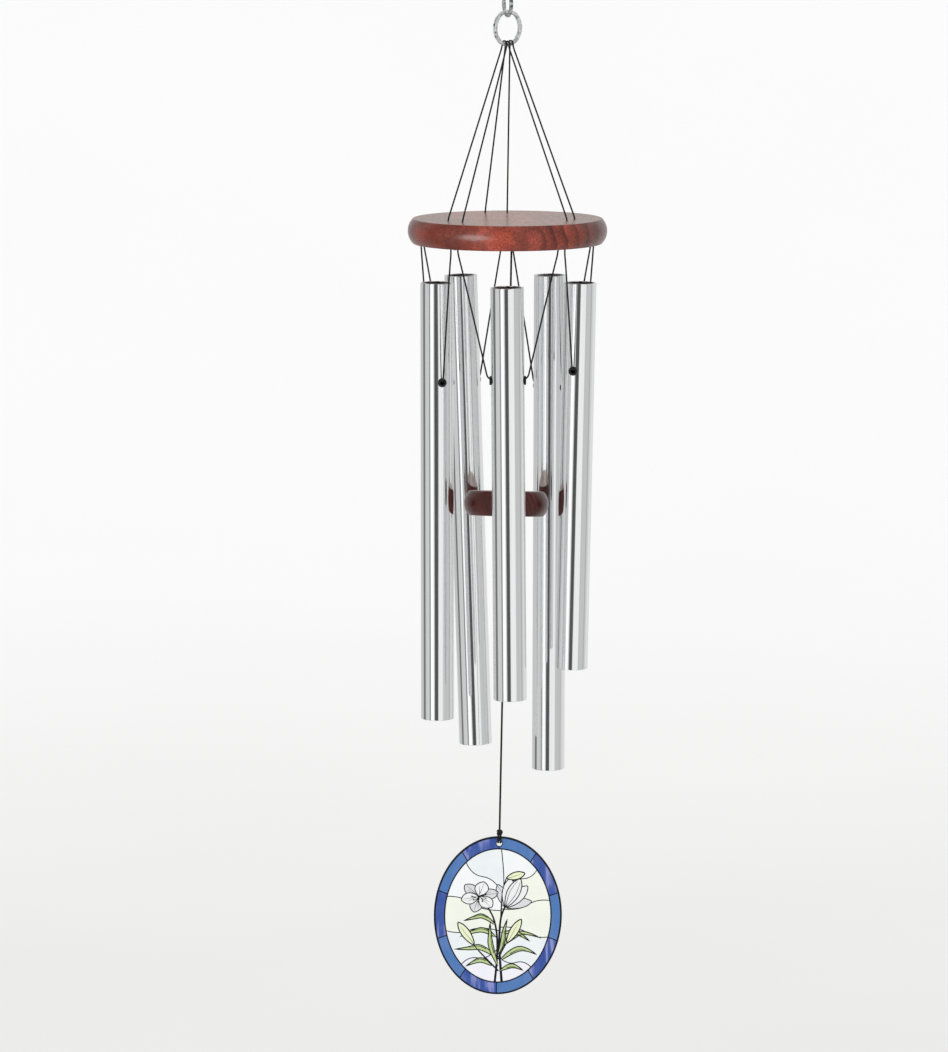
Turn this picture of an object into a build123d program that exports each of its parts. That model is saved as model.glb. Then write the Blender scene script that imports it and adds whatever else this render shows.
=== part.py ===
from build123d import *
import math
import os

# Hanging wind chime with five tubes, a wooden striker and an oval sail.
# Millimetres, +Z up, -Y is the front. The origin is the inside top of the
# S-hook's upper loop, which is where the chime hangs. Angles round the chime
# are in degrees, 0 at the front and growing towards +X.

# --- S-hook and ring
HOOK_WIRE = 2.2
HOOK_UPPER_BEND = 9.1
HOOK_LOWER_BEND = 7.0
HOOK_LENGTH = 40.0
HOOK_ANGLE = 17.5
HOOK_UPPER_TIP = 225.0
HOOK_LOWER_TIP = 400.0
RING_OUTER_R = 10.45
RING_RADIAL = 1.9
RING_TURN = 1.15
RING_WIDTH = 2.2
RING_EDGE = 0.45
RING_ANGLE = 42.0
RING_LIFT = 0.4

# --- wooden discs
DISC_TOP = -152.6
DISC_R = 57.3
STRIKER_R = 24.5
WOOD_THICK = 14.3
WOOD_BULGE = 3.0
WOOD_EDGE = 0.8

# --- cords
CORD = 1.0
STRIKER_CORD = 1.2
CORD_BEND = 1.2
LOOP_GAP = 1.9
LOOP_SIDE = 1.2
LOOP_SIDE_BEND = 3.0
LOOP_MOUTH_BEND = 6.0
LOOP_HOLES_R = 39.5
LOOP_HOLE = 1.6
LOOP_KNOT = (1.9, 2.6)
LOOP_KNOT_DROP = 0.35
UNDER_DROP = 0.65
TIE_BEND = 1.1

# --- suspension loops: hole angle of the front and back strand, place along the ring
SUSPENSION = {
    "left": (-41.1, -60.1, -2.4),
    "right": (78.9, 59.9, 2.4),
    "back": (179.9, 198.9, 0.0),
}

# --- tunnels that carry the tube cords under the top disc
TUNNEL_AT = [-36.0, 36.0, 108.0, 180.0, -108.0]
TUNNEL_R = 51.8
TUNNEL_HALF = 2.4
TUNNEL_BORE = 1.5
CORD_START = 0.6

# --- tubes: angle round the chime, length, and lean of the foot towards +X
TUBES = {
    "front": (0.0, 237.0, 0.46),
    "right": (72.0, 223.5, -1.17),
    "back_right": (144.0, 291.0, -0.15),
    "back_left": (-144.0, 276.0, 1.8),
    "left": (-72.0, 253.0, 0.04),
}
TUBE_CIRCLE_R = 42.5
TUBE_TOP = -188.4
TUBE_OUTER_R = 9.525
TUBE_WALL = 1.525
TUBE_EDGE = 0.35
NODE_POINT = 0.2242
TUBE_HOLE_R = 1.9
GROMMET_R = 2.55
GROMMET_INNER_R = 2.4
GROMMET_BORE_R = 1.25
GROMMET_PROUD = 0.9
GROMMET_CHAMFER = 0.3
GROMMET_LAP = 0.5
CORD_LIFT = 0.65
CORD_CORNER = 11.3

# --- striker line: distances down the line from the top disc's underside
LINE_LEAN = 1.12
LINE_DROP = 0.2
HANGING_KNOT = (2.8, 2.4)
STRIKER_AT = 150.7
STRIKER_TILT = -6.7
STRIKER_HOLE = 3.2
STRIKER_KNOT = (4.4, 3.4)
STRIKER_KNOT_DROP = 0.6
SAIL_KNOT = (4.0, 3.4)
SAIL_KNOT_RISE = 0.6
SAIL_TOP_AT = 346.4
SAIL_SIZE = (74.8, 93.9)
SAIL_THICK = 2.0
SAIL_EDGE = 0.4
SAIL_HOLE = 3.1
SAIL_HOLE_DOWN = 4.3
SAIL_LOOP_HALF = 1.9
SAIL_CORD_GAP = 0.15
JOINT_GAP = 0.25


def around(angle, radius, z):
    """Point on a circle round the chime's axis."""
    a = math.radians(angle)
    return Vector(radius * math.sin(a), -radius * math.cos(a), z)


def tube_along(path, diameter):
    """Round bar or cord that follows a path."""
    start = Plane(origin=path @ 0, z_dir=path % 0)
    return sweep(start * Circle(diameter / 2), path=path)


def cord(name, points, radii, diameter):
    """Cord along straight runs joined by tangent arcs, with its arc radii printed."""
    print(f"{name}: arc radii {[round(r, 2) for r in radii]} mm")
    path = FilletPolyline(*points, radius=radii)
    print(f"{name}: cord length {path.length:.1f} mm")
    return tube_along(path, diameter)


def knot(diameter, height):
    """Tight barrel-shaped knot on the Z axis, its top at z = 0."""
    neck = diameter * 0.25
    side = ThreePointArc((neck, 0), (diameter / 2, -height / 2), (neck, -height))
    outline = side + Polyline((neck, -height), (0, -height), (0, 0), (neck, 0))
    return revolve(Plane.XZ * make_face(outline), Axis.Z)


def bullnose_disc(radius):
    """Turned wooden disc on the Z axis, its top at z = 0, with a rounded rim."""
    flat = radius - WOOD_BULGE
    rim = ThreePointArc((flat, 0), (radius, -WOOD_THICK / 2), (flat, -WOOD_THICK))
    outline = rim + Polyline((flat, -WOOD_THICK), (0, -WOOD_THICK), (0, 0), (flat, 0))
    face = make_face(outline)
    corners = face.vertices().filter_by(lambda v: v.X > flat / 2)
    return revolve(Plane.XZ * fillet(corners, WOOD_EDGE), Axis.Z)


# ---------------------------------------------------------------- S-hook, ring
HOOK_UPPER_Z = HOOK_WIRE / 2 - HOOK_UPPER_BEND
HOOK_FOOT_Z = HOOK_WIRE - HOOK_LENGTH
HOOK_LOWER_Z = HOOK_FOOT_Z + HOOK_WIRE / 2 + HOOK_LOWER_BEND
HOOK_DIR = around(HOOK_ANGLE, 1, 0)


def hanging_hook():
    """S-hook: two loops joined by the straight shank that crosses between them."""
    lean = math.asin((HOOK_UPPER_BEND + HOOK_LOWER_BEND) / (HOOK_UPPER_Z - HOOK_LOWER_Z))
    upper_start = -math.degrees(lean)
    lower_start = 180 - math.degrees(lean)
    upper = CenterArc((0, HOOK_UPPER_Z), HOOK_UPPER_BEND, upper_start, HOOK_UPPER_TIP - upper_start)
    lower = CenterArc((0, HOOK_LOWER_Z), HOOK_LOWER_BEND, lower_start, HOOK_LOWER_TIP - lower_start)
    shank = Line(upper @ 0, lower @ 0)
    wire = None
    for run in (upper, shank, lower):
        piece = tube_along(run, HOOK_WIRE)
        wire = piece if wire is None else wire + piece
    for tip in (upper @ 1, lower @ 1):
        wire += Pos(tip.X, tip.Y, tip.Z) * Sphere(HOOK_WIRE / 2)
    upright = Plane(origin=(0, 0, 0), x_dir=HOOK_DIR, z_dir=HOOK_DIR.cross(Vector(0, 0, 1)))
    return upright * wire


RING_NORMAL = around(RING_ANGLE, 1, 0)
RING_TANGENT = Vector(0, 0, 1).cross(RING_NORMAL)
RING_MID_R = RING_OUTER_R - RING_RADIAL / 2
RING_TOP_Z = HOOK_FOOT_Z + HOOK_WIRE + RING_LIFT + RING_RADIAL
RING_Z = RING_TOP_Z - RING_OUTER_R


def hanging_ring():
    """Split ring: two flat turns of wire side by side, with a seam between them."""
    section = None
    for side in (-1, 1):
        turn = Pos(RING_MID_R, side * (RING_WIDTH - RING_TURN) / 2)
        band = turn * RectangleRounded(RING_RADIAL, RING_TURN, RING_EDGE)
        section = band if section is None else section + band
    upright = Plane(origin=(0, 0, RING_Z), x_dir=RING_TANGENT, z_dir=RING_NORMAL)
    return upright * revolve(Plane.XZ * section, Axis.Z)


# --------------------------------------------------- top disc and suspension
DISC_BOTTOM = DISC_TOP - WOOD_THICK
RING_FOOT = Vector(0, 0, RING_Z - RING_MID_R)


def tunnel_frame(angle, radius):
    """Frame on the disc's underside at a tunnel: X along the tunnel, Z up."""
    return Pos(*around(angle, radius, DISC_BOTTOM)) * Rot(0, 0, angle)


def top_disc():
    """Wooden disc with three pairs of suspension holes and six cord tunnels."""
    disc = Pos(0, 0, DISC_TOP) * bullnose_disc(DISC_R)
    for front_hole, back_hole, _ in SUSPENSION.values():
        for angle in (front_hole, back_hole):
            middle = around(angle, LOOP_HOLES_R, (DISC_TOP + DISC_BOTTOM) / 2)
            disc -= Pos(*middle) * Cylinder(LOOP_HOLE / 2, WOOD_THICK * 2)
    tunnels = [tunnel_frame(angle, TUNNEL_R) for angle in TUNNEL_AT] + [tunnel_frame(0, 0)]
    for frame in tunnels:
        disc -= frame * Rot(90, 0, 0) * Torus(TUNNEL_HALF, TUNNEL_BORE / 2)
    return disc


def loop_middle(front_hole, back_hole):
    """Where the underside run of a suspension loop is knotted, and its direction."""
    front = around(front_hole, LOOP_HOLES_R, DISC_BOTTOM - UNDER_DROP)
    back = around(back_hole, LOOP_HOLES_R, DISC_BOTTOM - UNDER_DROP)
    return (front + back) * 0.5, (front - back).normalized()


def suspension_loop(name, front_hole, back_hole, offset):
    """Cord round the ring's foot, down one hole and up the next, knotted below."""
    middle, along = loop_middle(front_hole, back_hole)
    foot_z = RING_Z - math.sqrt(RING_MID_R ** 2 - offset ** 2)
    foot = Vector(0, 0, foot_z) + RING_TANGENT * offset
    points = [middle + along * (LOOP_KNOT[1] / 2)]
    for angle, side in ((front_hole, 1), (back_hole, -1)):
        below = around(angle, LOOP_HOLES_R, DISC_BOTTOM - UNDER_DROP)
        above = around(angle, LOOP_HOLES_R, DISC_TOP)
        beside = foot + RING_NORMAL * (side * LOOP_GAP) - Vector(0, 0, LOOP_SIDE)
        over = foot + RING_NORMAL * (side * LOOP_GAP) + Vector(0, 0, LOOP_GAP)
        leg = [below, above, beside, over]
        points += leg if side == 1 else leg[::-1]
    points.append(middle - along * (LOOP_KNOT[1] / 2))
    ring_bend = LOOP_GAP * 0.95
    radii = [CORD_BEND, LOOP_MOUTH_BEND, LOOP_SIDE_BEND, ring_bend]
    return cord(f"suspension_loop_{name}", points, radii + radii[::-1], CORD)


def suspension_knots():
    """Three knots under the disc that close the suspension loops."""
    knots = []
    for front_hole, back_hole, _ in SUSPENSION.values():
        middle, along = loop_middle(front_hole, back_hole)
        start = middle + along * (LOOP_KNOT[1] / 2) - Vector(0, 0, LOOP_KNOT_DROP)
        knots.append(Plane(origin=start, z_dir=along) * knot(*LOOP_KNOT))
    return Compound(children=knots)


def tunnel_cord(angle, radius):
    """Half turn of cord inside a tunnel, its ends flush with the disc's underside."""
    turn = CenterArc((0, 0), TUNNEL_HALF, 0, 180)
    return tunnel_frame(angle, radius) * Rot(90, 0, 0) * tube_along(turn, CORD)


def striker_line_tie():
    """Cord in the centre tunnel and its tail, which runs back to the hanging knot."""
    turn = CenterArc((0, 0), TUNNEL_HALF, 0, 180)
    bend = CenterArc((TIE_BEND - TUNNEL_HALF, 0), TIE_BEND, 180, 90)
    knot_side = TUNNEL_HALF - HANGING_KNOT[0] / 2 - JOINT_GAP
    tail = Line(bend @ 1, (knot_side, -TIE_BEND))
    tie = None
    for run in (turn, bend, tail):
        piece = tube_along(run, CORD)
        tie = piece if tie is None else tie + piece
    return tunnel_frame(0, 0) * Rot(90, 0, 0) * tie


# ------------------------------------------------------------------------ tubes
def tube_frame(name):
    """Frame of a tube at its hanging holes: X through the holes, Z up the tube."""
    angle, length, lean = TUBES[name]
    middle = around(angle, TUBE_CIRCLE_R, TUBE_TOP - NODE_POINT * length)
    return Pos(*middle) * Rot(0, -lean, 0) * Rot(0, 0, angle)


def tube_body(length):
    """Open aluminium tube round its hanging holes, with softened ends."""
    top = NODE_POINT * length
    inner_r = TUBE_OUTER_R - TUBE_WALL
    wall = Pos((TUBE_OUTER_R + inner_r) / 2, top - length / 2)
    section = wall * RectangleRounded(TUBE_WALL, length, TUBE_EDGE)
    tube = revolve(Plane.XZ * section, Axis.Z)
    return tube - Rot(0, 90, 0) * Cylinder(TUBE_HOLE_R, TUBE_OUTER_R * 3)


def grommets(tube):
    """The two rubber grommets in a tube's hanging holes."""
    inner_r = TUBE_OUTER_R - TUBE_WALL
    face = TUBE_OUTER_R + GROMMET_PROUD
    back = inner_r - GROMMET_PROUD
    soft = GROMMET_CHAMFER
    outline = Polyline(
        (back, GROMMET_BORE_R),
        (back, GROMMET_INNER_R - soft),
        (back + soft, GROMMET_INNER_R),
        (inner_r + GROMMET_LAP, GROMMET_INNER_R),
        (inner_r + GROMMET_LAP, TUBE_HOLE_R),
        (TUBE_OUTER_R - GROMMET_LAP, TUBE_HOLE_R),
        (TUBE_OUTER_R - GROMMET_LAP, GROMMET_R),
        (face - soft, GROMMET_R),
        (face, GROMMET_R - soft),
        (face, GROMMET_BORE_R + soft),
        (face - soft, GROMMET_BORE_R),
        close=True,
    )
    right = revolve(make_face(outline), Axis.X) - tube
    left = Rot(0, 0, 180) * right
    return Compound(children=[right, left])


def tube_cord_points(name):
    """Tube cord's route: tunnel mouth, both hanging holes, next tunnel mouth."""
    angle = TUBES[name][0]
    step = 180 / len(TUBES)
    mouth_turn = math.degrees(math.asin(TUNNEL_HALF / TUNNEL_R))
    start_z = DISC_BOTTOM - CORD_START
    points = [around(angle - step + mouth_turn, TUNNEL_R, start_z)]
    for side in (-1, 1):
        corner = tube_frame(name) * Pos(side * CORD_CORNER, 0, CORD_LIFT)
        points.append(corner.position)
    points.append(around(angle + step - mouth_turn, TUNNEL_R, start_z))
    return points


def tube_cord(name):
    """Cord that carries one tube, with round ends where it leaves the tunnels."""
    points = tube_cord_points(name)
    line = cord(f"tube_cord_{name}", points, [CORD_BEND, CORD_BEND], CORD)
    for end in (points[0], points[-1]):
        line += Pos(*end) * Sphere(CORD / 2)
    return line


# ----------------------------------------------------------------- striker line
LINE_FRAME = Pos(TUNNEL_HALF, 0, DISC_BOTTOM - LINE_DROP) * Rot(0, LINE_LEAN, 0)


def on_line(distance):
    """Frame at a distance down the striker line."""
    return LINE_FRAME * Pos(0, 0, -distance)


def line_cord(start, end):
    """Straight stretch of striker cord with a round top end."""
    radius = STRIKER_CORD / 2
    length = end - start - radius
    stretch = on_line(start + radius + length / 2) * Cylinder(radius, length)
    return stretch + on_line(start + radius) * Sphere(radius)


STRIKER_HALF = WOOD_THICK / 2
CORD_TOP_AT = HANGING_KNOT[1] + JOINT_GAP
STRIKER_KNOT_AT = STRIKER_AT + STRIKER_HALF + STRIKER_KNOT_DROP
TAIL_TOP_AT = STRIKER_KNOT_AT + STRIKER_KNOT[1] + JOINT_GAP
SAIL_KNOT_AT = SAIL_TOP_AT - SAIL_KNOT_RISE - SAIL_KNOT[1]
SAIL_HOLE_AT = SAIL_TOP_AT + SAIL_HOLE_DOWN
SAIL_PIVOT_AT = SAIL_HOLE_AT - SAIL_HOLE / 2 + SAIL_CORD_GAP + CORD / 2


def striker():
    """Wooden disc that hits the tubes, tilted on its cord, with a cord hole."""
    disc = Pos(0, 0, WOOD_THICK / 2) * bullnose_disc(STRIKER_R)
    disc -= Cylinder(STRIKER_HOLE / 2, WOOD_THICK * 2)
    return on_line(STRIKER_AT) * Rot(STRIKER_TILT, 0, 0) * disc


def sail_knot():
    """Knot above the sail and the loop of cord that passes through its hole."""
    loop = FilletPolyline(
        (0, -SAIL_LOOP_HALF, -SAIL_KNOT_AT - SAIL_KNOT[1] / 2),
        (0, -SAIL_LOOP_HALF, -SAIL_PIVOT_AT),
        (0, SAIL_LOOP_HALF, -SAIL_PIVOT_AT),
        (0, SAIL_LOOP_HALF, -SAIL_KNOT_AT - SAIL_KNOT[1] / 2),
        radius=[CORD_BEND, CORD_BEND],
    )
    barrel = Pos(0, 0, -SAIL_KNOT_AT) * knot(*SAIL_KNOT)
    return LINE_FRAME * (barrel + tube_along(loop, CORD))


def sail():
    """Thin oval sail with softened edges and a hanging hole near its top."""
    width, height = SAIL_SIZE
    plate = extrude(Ellipse(width / 2, height / 2), SAIL_THICK / 2, both=True)
    plate = fillet(plate.faces().sort_by(Axis.Z)[0].edges(), SAIL_EDGE)
    plate = fillet(plate.faces().sort_by(Axis.Z)[-1].edges(), SAIL_EDGE)
    hole_up = height / 2 - SAIL_HOLE_DOWN
    plate -= Pos(0, hole_up, 0) * Cylinder(SAIL_HOLE / 2, SAIL_THICK * 2)
    return on_line(SAIL_TOP_AT + height / 2) * Rot(90, 0, 0) * plate


# ------------------------------------------------------------------------ parts
def all_parts():
    """Every node of the chime, by name."""
    parts = {
        "hanging_hook": hanging_hook(),
        "hanging_ring": hanging_ring(),
        "top_disc": top_disc(),
        "suspension_knots": suspension_knots(),
        "striker_line_tie": striker_line_tie(),
    }
    for name, route in SUSPENSION.items():
        parts[f"suspension_loop_{name}"] = suspension_loop(name, *route)
    for number, angle in enumerate(TUNNEL_AT, start=1):
        parts[f"tunnel_cord_{number}"] = tunnel_cord(angle, TUNNEL_R)
    for name, (_, length, _) in TUBES.items():
        tube = tube_body(length)
        parts[f"tube_{name}"] = tube_frame(name) * tube
        parts[f"grommets_{name}"] = tube_frame(name) * grommets(tube)
        parts[f"tube_cord_{name}"] = tube_cord(name)
    parts["hanging_knot"] = LINE_FRAME * knot(*HANGING_KNOT)
    parts["striker_cord"] = line_cord(CORD_TOP_AT, STRIKER_KNOT_AT - JOINT_GAP)
    parts["striker"] = striker()
    parts["striker_knot"] = on_line(STRIKER_KNOT_AT) * knot(*STRIKER_KNOT)
    parts["tail_cord"] = line_cord(TAIL_TOP_AT, SAIL_KNOT_AT - JOINT_GAP)
    parts["sail_knot"] = sail_knot()
    parts["sail"] = sail()
    return parts


def main():
    os.makedirs("parts", exist_ok=True)
    for name, shape in all_parts().items():
        shape.label = name
        export_step(shape, f"parts/{name}.step")
    print("written")


main()
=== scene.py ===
import bmesh
import bpy
import math
from mathutils import Matrix, Vector


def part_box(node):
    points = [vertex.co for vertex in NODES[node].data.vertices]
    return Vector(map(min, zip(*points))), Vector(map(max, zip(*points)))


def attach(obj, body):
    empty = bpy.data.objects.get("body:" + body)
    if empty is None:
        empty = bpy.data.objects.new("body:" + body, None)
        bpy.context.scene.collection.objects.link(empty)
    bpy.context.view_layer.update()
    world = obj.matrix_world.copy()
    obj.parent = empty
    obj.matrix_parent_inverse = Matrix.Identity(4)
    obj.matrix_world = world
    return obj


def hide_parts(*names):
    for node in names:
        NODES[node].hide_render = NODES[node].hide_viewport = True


# The looks of a hanging wind chime with five polished tubes, a wooden striker and an
# oval leaded-glass sail. Metres, +Z up, -Y is the front; the origin is where it hangs.

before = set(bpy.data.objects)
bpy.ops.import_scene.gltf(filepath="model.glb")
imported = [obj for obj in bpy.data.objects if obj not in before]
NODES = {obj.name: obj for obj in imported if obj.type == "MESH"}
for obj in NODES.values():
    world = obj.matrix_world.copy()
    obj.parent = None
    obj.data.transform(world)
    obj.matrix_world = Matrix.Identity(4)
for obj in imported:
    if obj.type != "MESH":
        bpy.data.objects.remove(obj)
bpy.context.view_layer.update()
MM = 0.001

# --- places on the frame
DISC_LOW, DISC_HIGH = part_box("top_disc")
DISC_BOTTOM = DISC_LOW.z
DISC_TOP = DISC_HIGH.z
RING_LOW, RING_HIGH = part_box("hanging_ring")
RING_Z = (RING_LOW.z + RING_HIGH.z) / 2
RING_OUTER_R = (RING_HIGH.z - RING_LOW.z) / 2

# --- driving dimensions, as in the CAD model
RING_RADIAL = 1.9 * MM
RING_TURN = 1.06 * MM
RING_WIDTH = 2.2 * MM
RING_ANGLE = 42.0
CORD = 1.0 * MM
STRIKER_CORD = 1.2 * MM
LOOP_GAP = 1.9 * MM
LOOP_SIDE = 1.2 * MM
LOOP_HOLES_R = 39.5 * MM
LOOP_KNOT = (1.9 * MM, 2.6 * MM)
UNDER_DROP = 0.65 * MM
EDGE_POINT = 6.0 * MM
# A loop's two holes (degrees round the disc) and its place along the ring's foot.
SUSPENSION = {
    "left": (-41.1, -60.1, -2.4 * MM),
    "right": (78.9, 59.9, 2.4 * MM),
    "back": (179.9, 198.9, 0.0),
}
TUNNEL_R = 51.8 * MM
TUNNEL_HALF = 2.4 * MM
CORD_START = 0.6 * MM
# A tube's place (degrees round the ring of tubes), length, and how many degrees it
# leans, with its foot to the right.
TUBES = {
    "front": (0.0, 237.0 * MM, 0.46),
    "right": (72.0, 223.5 * MM, -1.17),
    "back_right": (144.0, 291.0 * MM, -0.15),
    "back_left": (-144.0, 276.0 * MM, 1.8),
    "left": (-72.0, 253.0 * MM, 0.04),
}
TUBE_CIRCLE_R = 42.5 * MM
TUBE_TOP = -188.4 * MM
NODE_POINT = 0.2242
CORD_LIFT = 0.65 * MM
CORD_CORNER = 11.3 * MM
LINE_LEAN = 1.12
LINE_DROP = 0.2 * MM


def around(angle, radius, z):
    """Point on a circle round the chime's axis, 0 degrees at the front."""
    a = math.radians(angle)
    return Vector((radius * math.sin(a), -radius * math.cos(a), z))


def turn(degrees, axis):
    return Matrix.Rotation(math.radians(degrees), 4, axis)


def tube_frame(name):
    """Frame of a tube at its hanging holes: X through the holes, Z up the tube."""
    angle, length, lean = TUBES[name]
    middle = around(angle, TUBE_CIRCLE_R, TUBE_TOP - NODE_POINT * length)
    return Matrix.Translation(middle) @ turn(-lean, "Y") @ turn(angle, "Z")


LINE_TOP = Vector((TUNNEL_HALF, 0, DISC_BOTTOM - LINE_DROP))
LINE_FRAME = Matrix.Translation(LINE_TOP) @ turn(LINE_LEAN, "Y")


def on_line(distance):
    """Frame at a distance down the striker line."""
    return LINE_FRAME @ Matrix.Translation((0, 0, -distance))


# --- camera, studio
CAMERA_PLACE = (-0.0192, -3.257, 0.1204)
CAMERA_TILT = 82.11
SENSOR_WIDTH = 36
LENS = 194.6
VIEW_DEPTH = 200


def make_camera():
    data = bpy.data.cameras.new("camera")
    data.sensor_width = SENSOR_WIDTH
    data.lens = LENS
    data.clip_end = VIEW_DEPTH
    camera = bpy.data.objects.new("camera", data)
    camera.location = CAMERA_PLACE
    camera.rotation_euler = (math.radians(CAMERA_TILT), 0, 0)
    bpy.context.scene.collection.objects.link(camera)
    bpy.context.scene.camera = camera


make_camera()


# --- node helpers
MIX_FIRST, MIX_SECOND, MIX_RESULT = 6, 7, 2


class Nodes:
    """Short calls for the shader nodes that the studio and the finishes share."""

    def __init__(self, tree):
        self.tree = tree

    def node(self, kind, values=None, **settings):
        made = self.tree.nodes.new(kind)
        for label, value in settings.items():
            setattr(made, label, value)
        for label, value in (values or {}).items():
            if isinstance(value, bpy.types.NodeSocket):
                self.tree.links.new(value, made.inputs[label])
            else:
                made.inputs[label].default_value = value
        return made

    def split(self, vector):
        """The X, Y and Z of a vector."""
        return self.node("ShaderNodeSeparateXYZ", {0: vector}).outputs

    def attribute(self, name, output="Fac"):
        return self.node("ShaderNodeAttribute", attribute_name=name).outputs[output]

    def stretched(self, vector, scale):
        return self.node("ShaderNodeMapping", {"Vector": vector, "Scale": scale}).outputs["Vector"]

    def place(self, location=(0, 0, 0), rotation=(0, 0, 0), scale=(1, 1, 1)):
        """The piece's own coordinates in metres, moved, turned and stretched."""
        coordinates = self.node("ShaderNodeTexCoord").outputs["Object"]
        values = {"Vector": coordinates, "Location": location, "Rotation": rotation, "Scale": scale}
        return self.node("ShaderNodeMapping", values).outputs["Vector"]

    def noise(self, vector, scale, detail=4, roughness=0.5, distortion=0):
        values = {"Vector": vector, "Scale": scale, "Detail": detail, "Roughness": roughness}
        values["Distortion"] = distortion
        return self.node("ShaderNodeTexNoise", values).outputs["Fac"]

    def math(self, operation, *values):
        return self.node("ShaderNodeMath", dict(enumerate(values)), operation=operation).outputs[0]

    def product(self, first, *others):
        for other in others:
            first = self.math("MULTIPLY", first, other)
        return first

    def span(self, value, low, high, new_low=0.0, new_high=1.0):
        """The value stretched from one range to another, smooth at both ends."""
        labels = ("Value", "From Min", "From Max", "To Min", "To Max")
        values = dict(zip(labels, (value, low, high, new_low, new_high)))
        return self.node("ShaderNodeMapRange", values, interpolation_type="SMOOTHSTEP").outputs["Result"]

    def mix(self, share, first, second):
        """Blend of two colours, by the numbers that a mix node's colour sockets have."""
        values = {0: share, MIX_FIRST: first, MIX_SECOND: second}
        return self.node("ShaderNodeMix", values, data_type="RGBA").outputs[MIX_RESULT]

    def layers(self, base, *layers):
        """A colour with others laid over it in turn, each by its share."""
        for share, color in layers:
            base = self.mix(share, base, color)
        return base

    def ramp(self, value, *stops):
        made = self.node("ShaderNodeValToRGB", {"Fac": value})
        elements = made.color_ramp.elements
        while len(elements) < len(stops):
            elements.new(0.5)
        for element, (position, color) in zip(elements, stops):
            element.position = position
            element.color = color
        return made.outputs["Color"]


class Shader(Nodes):
    """A node material, whose results go to the sockets of its surface."""

    def __init__(self, name, **inputs):
        self.material = bpy.data.materials.new(name)
        self.material.use_nodes = True
        super().__init__(self.material.node_tree)
        self.surface = self.tree.nodes["Principled BSDF"]
        for label, value in inputs.items():
            self.surface.inputs[label.replace("_", " ")].default_value = value

    def link(self, output, label):
        self.tree.links.new(output, self.surface.inputs[label])

    def cloudy(self, scale, detail, dark, light, dark_until=0.35, light_from=0.7):
        """Colours the surface by a noise, from dark to light, and gives the noise."""
        cloud = self.noise(self.place(), scale, detail)
        self.link(self.ramp(cloud, (dark_until, rgb(*dark)), (light_from, rgb(*light))), "Base Color")
        return cloud

    def bump(self, height, distance, strength=1.0):
        values = {"Height": height, "Distance": distance, "Strength": strength}
        self.link(self.node("ShaderNodeBump", values).outputs["Normal"], "Normal")


def rgb(red, green, blue):
    """Linear colour from the usual 0 to 255 screen values."""
    channels = [v / 255 for v in (red, green, blue)]
    linear = [c / 12.92 if c <= 0.04045 else ((c + 0.055) / 1.055) ** 2.4 for c in channels]
    return (*linear, 1.0)


def grey(level):
    """Grey of a linear level."""
    return (level, level, level, 1.0)


# --- studio
# Tall panels all round the chime, which the polished tubes mirror: the angle at
# which each begins (0 at the camera, growing to the right) and its brightness.
PANELS = [
    (-180, 0.60), (-172, 0.85), (-162, 0.60), (-125, 0.54), (-111, 0.18), (-91, 0.64),
    (-56, 0.24), (-47, 1.15), (-26, 0.75), (-19, 0.09), (6, 0.90), (46, 0.57),
    (87, 0.44), (97, 0.68), (112, 0.76), (172, 0.60),
]
PANEL_EDGE = 3.0
FLOOR_Z = -1.25


def make_world():
    """White surroundings, which the mirror finishes see as the panels instead."""
    world = bpy.data.worlds.new("studio")
    bpy.context.scene.world = world
    world.use_nodes = True
    nodes = Nodes(world.node_tree)
    direction = nodes.split(nodes.node("ShaderNodeTexCoord").outputs["Generated"])
    angle = nodes.math("ARCTAN2", direction["X"], nodes.math("MULTIPLY", direction["Y"], -1))
    values = {"Value": angle, "From Min": -math.pi, "From Max": math.pi}
    share = nodes.node("ShaderNodeMapRange", values).outputs["Result"]
    panels = nodes.node("ShaderNodeValToRGB", {"Fac": share})
    elements = panels.color_ramp.elements
    elements.remove(elements[0])
    elements[0].position = 0
    elements[0].color = grey(PANELS[0][1])
    for (_, before), (start, after) in zip(PANELS, PANELS[1:]):
        for degrees, level in ((start - PANEL_EDGE / 2, before), (start + PANEL_EDGE / 2, after)):
            elements.new((degrees + 180) / 360).color = grey(level)
    mirrored = nodes.node("ShaderNodeLightPath").outputs["Is Glossy Ray"]
    seen = nodes.mix(mirrored, grey(1.0), panels.outputs["Color"])
    nodes.tree.links.new(seen, nodes.tree.nodes["Background"].inputs["Color"])


def area_light(name, location, target, size, power):
    data = bpy.data.lights.new(name, "AREA")
    data.shape = "DISK"
    data.size = size
    data.energy = power
    light = bpy.data.objects.new(name, data)
    light.location = location
    aim = Vector(target) - Vector(location)
    light.rotation_euler = aim.to_track_quat("-Z", "Y").to_euler()
    light.visible_camera = False
    bpy.context.scene.collection.objects.link(light)
    return light


# Each light's place, width in metres and power in watts.
STUDIO_LIGHTS = {
    "key_light": ((-1.4, -1.9, 1.3), 1.0, 26),
    "fill_light": ((2.0, -1.4, 0.7), 1.4, 12),
}
CHIME_MIDDLE = (0, 0, -0.3)


def make_studio():
    make_world()
    for name, (place, size, power) in STUDIO_LIGHTS.items():
        area_light(name, place, CHIME_MIDDLE, size, power).visible_glossy = False
    bpy.context.scene.view_settings.view_transform = "Standard"


make_studio()


# --- mesh helpers
def link(obj, body, slot, *replaced):
    """Puts a finished piece in the scene and on its body, and hides the parts that it replaces."""
    bpy.context.scene.collection.objects.link(obj)
    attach(obj, body)
    if replaced:
        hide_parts(*replaced)
    return obj


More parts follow.
